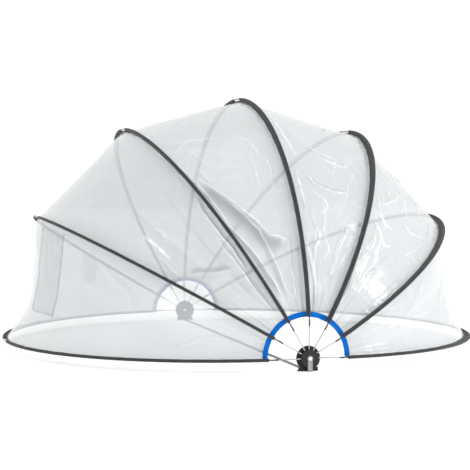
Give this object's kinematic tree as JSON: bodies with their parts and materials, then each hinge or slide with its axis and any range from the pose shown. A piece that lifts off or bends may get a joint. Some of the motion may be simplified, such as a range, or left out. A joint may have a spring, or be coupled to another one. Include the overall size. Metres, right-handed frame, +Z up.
{
  "type": "folding pool dome",
  "caption": "Half dome of clear film on black half hoops that fan out from two ground hubs and fold flat to one side.",
  "frame": {"origin": "on the ground, midway between the two hubs", "axes": "+Z up; +Y from the near hub to the far hub, along the pivot line of every hoop; +X towards the fixed ground hoop, which the others fold onto"},
  "size_m": [4.924, 4.735, 2.5801],
  "materials": {
    "spoke_steel": "drawn steel wire, satin",
    "rod_fibreglass": "pultruded glass fibre rod, black",
    "ferrule_alloy": "satin tube",
    "sleeve_fabric": "coated woven polyester, charcoal",
    "clear_film": "clear PVC film, glossy with soft creases",
    "blue_binding": "woven binding tape, blue",
    "hub_plastic": "fine-textured moulding, black",
    "bolt_steel": "zinc plated",
    "tie_steel": "hot-dip galvanised, dull grey",
    "zip_tape": "grey zip tape"
  },
  "bodies": {
    "ground_frame": {"hoop_spokes_0": "spoke_steel", "hoop_rods_0": "rod_fibreglass", "hoop_ferrules_0": "ferrule_alloy", "hoop_sleeve_0": "sleeve_fabric", "hub_base_near": "hub_plastic", "hub_cap_near": "hub_plastic", "pivot_bolt_near": "bolt_steel", "tie_bar_near": "tie_steel", "hub_base_far": "hub_plastic", "hub_cap_far": "hub_plastic", "pivot_bolt_far": "bolt_steel", "tie_bar_far": "tie_steel", "pivot_nuts": "bolt_steel", "pivot_washers": "bolt_steel", "tie_splice": "tie_steel", "splice_rivets": "bolt_steel"},
    "hoop_1": {"hoop_spokes_1": "spoke_steel", "hoop_rods_1": "rod_fibreglass", "hoop_ferrules_1": "ferrule_alloy", "hoop_sleeve_1": "sleeve_fabric", "film_panel_1": "clear_film", "edge_binding_1": "blue_binding"},
    "hoop_2": {"hoop_spokes_2": "spoke_steel", "hoop_rods_2": "rod_fibreglass", "hoop_ferrules_2": "ferrule_alloy", "hoop_sleeve_2": "sleeve_fabric", "film_panel_2": "clear_film", "edge_binding_2": "blue_binding"},
    "hoop_3": {"hoop_spokes_3": "spoke_steel", "hoop_rods_3": "rod_fibreglass", "hoop_ferrules_3": "ferrule_alloy", "hoop_sleeve_3": "sleeve_fabric", "film_panel_3": "clear_film", "edge_binding_3": "blue_binding"},
    "hoop_4": {"hoop_spokes_4": "spoke_steel", "hoop_rods_4": "rod_fibreglass", "hoop_ferrules_4": "ferrule_alloy", "hoop_sleeve_4": "sleeve_fabric", "film_panel_4": "clear_film", "edge_binding_4": "blue_binding"},
    "hoop_5": {"hoop_spokes_5": "spoke_steel", "hoop_rods_5": "rod_fibreglass", "hoop_ferrules_5": "ferrule_alloy", "hoop_sleeve_5": "sleeve_fabric", "film_panel_5": "clear_film", "edge_binding_5": "blue_binding"},
    "hoop_6": {"hoop_spokes_6": "spoke_steel", "hoop_rods_6": "rod_fibreglass", "hoop_ferrules_6": "ferrule_alloy", "hoop_sleeve_6": "sleeve_fabric", "film_panel_6": "clear_film", "edge_binding_6": "blue_binding", "door_flap": "clear_film", "door_zip": "zip_tape"}
  },
  "joints": [
    {"name": "hoop_1_fold", "type": "hinge", "parent": "ground_frame", "child": "hoop_1", "pos_m": [0, 0, 0.118], "axis": [0, 1, 0], "range_deg": [0, 25], "deforming": ["film_panel_1", "edge_binding_1"]},
    {"name": "hoop_2_fold", "type": "hinge", "parent": "hoop_1", "child": "hoop_2", "pos_m": [0, 0, 0.118], "axis": [0, 1, 0], "range_deg": [0, 25], "deforming": ["film_panel_2", "edge_binding_2"]},
    {"name": "hoop_3_fold", "type": "hinge", "parent": "hoop_2", "child": "hoop_3", "pos_m": [0, 0, 0.118], "axis": [0, 1, 0], "range_deg": [0, 25], "deforming": ["film_panel_3", "edge_binding_3"]},
    {"name": "hoop_4_fold", "type": "hinge", "parent": "hoop_3", "child": "hoop_4", "pos_m": [0, 0, 0.118], "axis": [0, 1, 0], "range_deg": [0, 25], "deforming": ["film_panel_4", "edge_binding_4"]},
    {"name": "hoop_5_fold", "type": "hinge", "parent": "hoop_4", "child": "hoop_5", "pos_m": [0, 0, 0.118], "axis": [0, 1, 0], "range_deg": [0, 25], "deforming": ["film_panel_5", "edge_binding_5"]},
    {"name": "hoop_6_fold", "type": "hinge", "parent": "hoop_5", "child": "hoop_6", "pos_m": [0, 0, 0.118], "axis": [0, 1, 0], "range_deg": [0, 25], "deforming": ["film_panel_6", "edge_binding_6", "door_flap", "door_zip"]}
  ]
}
